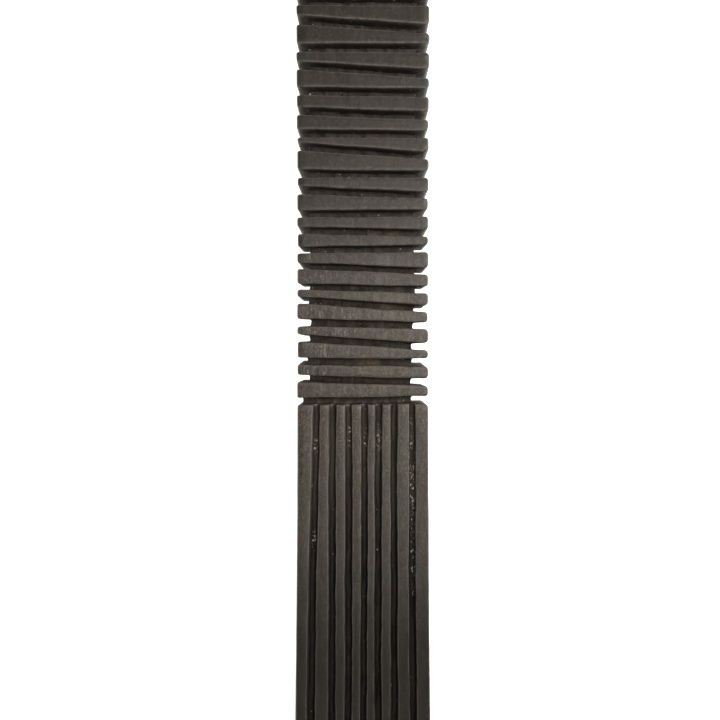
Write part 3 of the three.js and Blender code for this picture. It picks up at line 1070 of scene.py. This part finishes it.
def carved_wood_material():
    """Dark stained wood: faces rubbed, cuts and flutes dull, with old pigment and pale crumbs in them; the
    crumbs are partly painted glints, the hollows darken towards the ends with painted shade and the faces
    partly so, and worn arrises carry a painted highlight.
    """
    s = Shader("ebonised_carved_wood")
    streaks = s.noise((9, 230, 230), 6, 0.6, 0.4)
    fibres = s.noise((70, 1500, 1500), 4, 0.6)
    patches = s.noise((38, 60, 60), 4, 0.6)
    mottle = s.noise((560, 700, 700), 3, 0.7)
    leather = s.noise((1000, 1300, 1300), 2, 0.6, shift=(5, 5, 5))
    rings = s.ramp(s.growth_rings((0, 1, 1), (0, 0.012, 0.02), 2.7 * MM), 0.55, 0.98)
    fluted, scratched = s.attribute("fluted"), s.attribute("scratched")
    hollow = s.math("MAXIMUM", s.ramp(s.attribute("sunk"), 0.04, 0.3), s.ramp(fluted, 0.05, 0.5))

    along = s.node("SeparateXYZ", Vector=s.place).outputs["X"]
    face = s.mix(s.ramp(streaks, 0.3, 0.75), rgb(0.0248, 0.0188, 0.0134), rgb(0.0380, 0.0298, 0.0218))
    face = s.mix(s.ramp(patches, 0.4, 0.75, 0, 0.45), face, rgb(0.049, 0.0380, 0.0265))
    face = s.mix(s.ramp(along, -35 * MM, -60 * MM, 0, 0.6), face, rgb(0.041, 0.0378, 0.0355))
    reddish = s.ramp(s.noise((16, 75, 75), 3, 0.6, shift=(1, 6, 2)), 0.4, 0.62, 0, 0.6)
    face = s.mix(reddish, face, rgb(0.038, 0.0265, 0.0195))
    handled = s.ramp(s.math("ABSOLUTE", along), 60 * MM, 110 * MM, 1.0, 0.55)
    face = s.mix(s.product(s.ramp(mottle, 0.45, 0.63, 0, 0.8), handled), face, rgb(0.084, 0.070, 0.050))
    face = s.mix(s.product(s.ramp(leather, 0.54, 0.36, 0, 0.9), handled), face, rgb(0.012, 0.0092, 0.0066))
    face = s.mix(s.product(rings, 0.3), face, rgb(0.016, 0.012, 0.0088))
    face = s.mix(s.ramp(fibres, 0.55, 0.8, 0, 0.4), face, rgb(0.010, 0.008, 0.006))
    fine = s.noise((170, 640, 640), 2, 0.5, 2.2, shift=(3, 1, 2))
    light = s.product(s.ramp(fine, 0.56, 0.66), scratched)
    light = s.math("ADD", s.ramp(fine, 0.70, 0.78, 0, 0.4), light)
    face = s.mix(s.math("MINIMUM", light, 0.65), face, rgb(0.15, 0.130, 0.10))
    dark = s.product(s.ramp(fine, 0.48, 0.40, 0, 0.8), scratched)
    face = s.mix(dark, face, rgb(0.010, 0.0080, 0.0060))
    stained = s.product(s.attribute("stained"), s.ramp(mottle, 0.35, 0.6, 1, 0.55))
    face = s.mix(stained, face, rgb(0.006, 0.005, 0.004))
    checks = 0.0
    for across, x_from, x_to in CHECKS:
        checks = s.math("MAXIMUM", checks, check_line(s, across * MM, x_from * MM, x_to * MM))
    face = s.mix(s.product(checks, 0.8), face, rgb(0.004, 0.003, 0.003))

    inside = s.mix(s.ramp(streaks, 0.35, 0.7), rgb(0.011, 0.0082, 0.0060), rgb(0.030, 0.0225, 0.0160))
    inside = s.mix(s.ramp(mottle, 0.45, 0.7, 0, 0.45), inside, rgb(0.062, 0.052, 0.038))
    ochre = s.product(s.attribute("ochre"), s.ramp(patches, 0.36, 0.56), s.ramp(mottle, 0.3, 0.6, 0.4, 1))
    inside = s.mix(ochre, inside, rgb(0.092, 0.067, 0.040))
    # Pale crumbs and specks in the flutes and cuts: partly grit and dust, partly painted glints.
    crumbs_and_glints = s.ramp(s.noise((620, 900, 900), 2, 0.6, shift=(9, 3, 1)), 0.54, 0.66)
    dust_and_glints = s.ramp(s.attribute("dust_and_glints"), 0.15, 0.6)
    broken = s.ramp(s.noise((260, 260, 260), 2, 0.5, shift=(4, 8, 2)), 0.36, 0.5)
    crumbs_and_glints = s.product(crumbs_and_glints, dust_and_glints, broken)
    specks_and_glints = s.noise((560, 700, 700), 1, 0.4, shift=(2, 2, 7))
    specks_and_glints = s.ramp(s.math("ADD", specks_and_glints, s.product(s.attribute("glint"), 0.2)), 0.765, 0.80, 0, 0.6)
    dusty = s.product(fluted, s.ramp(along, -140 * MM, -65 * MM, 0, 0.75), s.ramp(streaks, 0.3, 0.6, 0.3, 1))
    inside = s.mix(dusty, inside, rgb(0.066, 0.055, 0.041))
    # Painted shade: the cuts and flutes grow darker towards both ends.
    painted_hollow_shade = s.towards_ends(along, (-60, -150, 0.7), (50, 120, 0.3))
    inside = s.mix(painted_hollow_shade, inside, rgb(0.003, 0.0025, 0.002))
    inside = s.mix(s.math("MAXIMUM", crumbs_and_glints, specks_and_glints), inside, rgb(0.60, 0.56, 0.50))
    # The faces grow darker towards both ends: partly a duller, less handled finish, partly painted shade of
    # the light falling off.
    duller_and_shaded_ends = s.towards_ends(along, (-110, -185, 0.72), (10, 70, 0.45))
    face = s.mix(duller_and_shaded_ends, face, rgb(0.004, 0.003, 0.0025))

    colour = s.mix(hollow, face, inside)
    # Worn arrises are paler: real wear, and a painted highlight along the arrises.
    rubbed = s.ramp(s.noise((90, 240, 240), 3, 0.6), 0.28, 0.58, 0.25, 0.85)
    rubbed = s.product(s.attribute("worn"), rubbed, s.ramp(along, -180 * MM, -90 * MM, 0.5, 1))
    colour = s.mix(rubbed, colour, rgb(0.130, 0.119, 0.105))
    rough = s.ramp(s.noise((60, 300, 300), 4, 0.6), 0.3, 0.75, 0.42, 0.58)
    rough = s.math("ADD", rough, s.math("MULTIPLY", hollow, 0.2))
    normal = s.bump(streaks, 0.35, 0.4 * MM)
    normal = s.bump(fibres, 0.35, 0.15 * MM, normal)
    normal = s.bump(s.math("ADD", mottle, s.product(leather, 0.5)), 0.5, 0.22 * MM, normal)
    pits = s.noise((420, 520, 520), 5, 0.65)
    normal = s.bump(s.product(pits, s.ramp(hollow, 0, 1, 0.2, 1.6)), 0.6, 0.35 * MM, normal)
    s.set(Base_Color=colour, Roughness=rough, Normal=normal, Specular_IOR_Level=0.4)
    return s.material


def foot_wood_material():
    """The same dark stained wood with its grain upright, rubbed pale along its edges."""
    s = Shader("ebonised_foot_wood")
    streaks = s.noise((200, 200, 11), 6, 0.6, 0.5)
    fibres = s.noise((1400, 1400, 70), 4, 0.6)
    patches = s.noise((42, 42, 30), 4, 0.6)
    mottle = s.noise((620, 620, 480), 3, 0.65)
    rings = s.ramp(s.growth_rings((1, 1, 0), (0.31, 0.05, 0), 3.1 * MM), 0.5, 0.97)
    turn = s.attribute("turn")
    colour = s.mix(s.ramp(streaks, 0.3, 0.75), rgb(0.020, 0.0145, 0.010), rgb(0.040, 0.030, 0.021))
    colour = s.mix(s.ramp(patches, 0.4, 0.75, 0, 0.5), colour, rgb(0.048, 0.036, 0.026))
    colour = s.mix(s.ramp(mottle, 0.44, 0.7, 0, 0.4), colour, rgb(0.060, 0.048, 0.036))
    colour = s.mix(s.product(rings, 0.35), colour, rgb(0.014, 0.010, 0.007))
    colour = s.mix(s.ramp(fibres, 0.55, 0.8, 0, 0.4), colour, rgb(0.009, 0.007, 0.005))
    colour = s.mix(s.ramp(turn, -0.1, -0.7, 0, 0.7), colour, rgb(0.008, 0.006, 0.0045))
    rubbed = s.ramp(s.noise((120, 120, 90), 4, 0.6), 0.32, 0.62, 0.15, 0.8)
    colour = s.mix(s.product(s.ramp(turn, 0.12, 0.75), rubbed), colour, rgb(0.12, 0.092, 0.066))
    rough = s.ramp(s.noise((160, 160, 90), 4, 0.6), 0.3, 0.75, 0.4, 0.6)
    normal = s.bump(streaks, 0.4, 0.4 * MM)
    normal = s.bump(fibres, 0.4, 0.15 * MM, normal)
    normal = s.bump(mottle, 0.4, 0.2 * MM, normal)
    s.set(Base_Color=colour, Roughness=rough, Normal=normal, Specular_IOR_Level=0.4)
    return s.material


def fibre_material():
    """Twisted coconut fibre: each strand is laid from fine dry hairs, with paler hairs and patches."""
    s = Shader("coconut_fibre_braid")
    place = s.node("UVMap", {"uv_map": "strand"}).outputs["UV"]
    u, v, _ = (s.node("SeparateXYZ", Vector=place).outputs[k] for k in range(3))
    twist = s.math("ADD", s.product(u, 4), s.product(v, 0.62))
    plies = s.math("SINE", s.product(twist, 2 * math.pi))
    hairs = s.noise((1500, 1500, 1500), 3, 0.6, 1.5)
    patches = s.noise((70, 70, 70), 4, 0.6)
    tone = s.noise((420, 420, 420), 2, 0.5)
    colour = s.mix(s.ramp(patches, 0.3, 0.7), rgb(0.050, 0.029, 0.014), rgb(0.105, 0.066, 0.034))
    colour = s.mix(s.ramp(tone, 0.4, 0.7, 0, 0.5), colour, rgb(0.17, 0.115, 0.062))
    colour = s.mix(s.ramp(plies, -0.2, -1.0, 0, 0.65), colour, rgb(0.020, 0.011, 0.006))
    colour = s.mix(s.ramp(hairs, 0.58, 0.72, 0, 0.55), colour, rgb(0.26, 0.19, 0.11))
    normal = s.bump(plies, 0.55, 0.16 * MM)
    normal = s.bump(hairs, 0.7, 0.14 * MM, normal)
    s.set(Base_Color=colour, Normal=normal)
    s.set(Roughness=0.85, Specular_IOR_Level=0.25, Sheen_Weight=0.2, Sheen_Roughness=0.5)
    return s.material


def peg_wood_material():
    """Brown whittled pegs, streaked, with darker growth rings and pores."""
    s = Shader("whittled_peg_wood")
    streaks = s.noise((520, 25, 520), 5, 0.6, 0.3)
    pores = s.noise((2600, 60, 2600), 3, 0.6)
    rings = s.ramp(s.growth_rings((1, 0, 1), (0.262, 0, 0.12), 1.1 * MM), 0.4, 0.95)
    colour = s.mix(s.ramp(streaks, 0.3, 0.72), rgb(0.040, 0.024, 0.013), rgb(0.092, 0.058, 0.033))
    colour = s.mix(s.product(rings, 0.45), colour, rgb(0.028, 0.017, 0.009))
    colour = s.mix(s.ramp(pores, 0.56, 0.75, 0, 0.7), colour, rgb(0.012, 0.008, 0.005))
    rough = s.ramp(streaks, 0.3, 0.75, 0.45, 0.65)
    normal = s.bump(streaks, 0.4, 0.2 * MM)
    normal = s.bump(pores, 0.5, 0.1 * MM, normal)
    s.set(Base_Color=colour, Roughness=rough, Normal=normal, Specular_IOR_Level=0.35)
    return s.material


# ---- Stage: a plain pale floor and soft light ----
WARM = (1.0, 0.965, 0.90)
# The heights at which the walls start and stop fading, and the light at each.
WALL_FADE = (0.25, 0.45, 0.85, 0.05)
FLOOR_DROP = 0.2 * MM
FLOOR_HALF = 30  # metres
FLOOR_GLOW = 0.76
LIGHTS = [  # name, place, size and power
    ("overhead", (0.01, -0.06, 0.56), (0.12, 0.12), 1.0),
    ("key", (0.2, -0.44, 0.56), (0.2, 0.2), 5.0),
    ("left", (-0.05, 0.8, 0.32), (0.9, 0.25), 1.7),
    ("fill", (-0.65, 0.1, 0.7), (0.5, 0.5), 0.5),
]


def pale_room():
    """Pale low walls under a dim ceiling, so that the sides are lit and the carving keeps its shadows."""
    world = bpy.data.worlds.new("studio")
    world.use_nodes = True
    nodes, links = world.node_tree.nodes, world.node_tree.links
    direction = nodes.new("ShaderNodeTexCoord")
    height = nodes.new("ShaderNodeSeparateXYZ")
    fade = nodes.new("ShaderNodeMapRange")
    for key, value in zip(("From Min", "From Max", "To Min", "To Max"), WALL_FADE):
        fade.inputs[key].default_value = value
    links.new(direction.outputs["Generated"], height.inputs["Vector"])
    links.new(height.outputs["Z"], fade.inputs["Value"])
    links.new(fade.outputs["Result"], nodes["Background"].inputs["Strength"])
    nodes["Background"].inputs["Color"].default_value = rgb(1, 1, 1)
    return world


def make_stage():
    corners = []
    for x, y in ((-1, -1), (1, -1), (1, 1), (-1, 1)):
        corners.append((x * FLOOR_HALF, y * FLOOR_HALF, -FLOOR_DROP))
    floor = mesh_object("floor", corners, [(0, 1, 2, 3)])
    s = Shader("pale_floor")
    s.set(Base_Color=rgb(0.86, 0.86, 0.86), Roughness=0.9)
    s.set(Emission_Color=rgb(1, 1, 1), Emission_Strength=FLOOR_GLOW)
    floor.data.materials.append(s.material)
    bpy.context.scene.world = pale_room()
    bpy.context.scene.view_settings.view_transform = "Standard"


def area_light(name, place, size, power):
    """A warm light that faces the middle of the resting surface."""
    data = bpy.data.lights.new(name, "AREA")
    data.shape = "RECTANGLE"
    data.size, data.size_y = size
    data.energy = power
    data.color = WARM
    light = bpy.data.objects.new(name, data)
    light.location = place
    light.visible_camera = False
    aim = np.array((0, 0, MID_TOP)) - np.array(place)
    light.rotation_euler = Vector(aim).to_track_quat("-Z", "Y").to_euler()
    bpy.context.scene.collection.objects.link(light)


# ---- The scene ----
place_camera()
make_stage()
for light in LIGHTS:
    area_light(*light)

crossbar = carved_crossbar()
fit_joints(crossbar)
finish_piece(crossbar, "crossbar", carved_wood_material())

foot_wood, fibre, peg_wood = foot_wood_material(), fibre_material(), peg_wood_material()
for end in ENDS:
    finish_piece(carved_foot(end), f"{end}_foot", foot_wood)
    finish_piece(braided_lashing(end), f"{end}_lashing", fibre)
    for place in ("inner", "outer"):
        finish_piece(whittled_peg(end, place), f"{end}_{place}_peg", peg_wood)
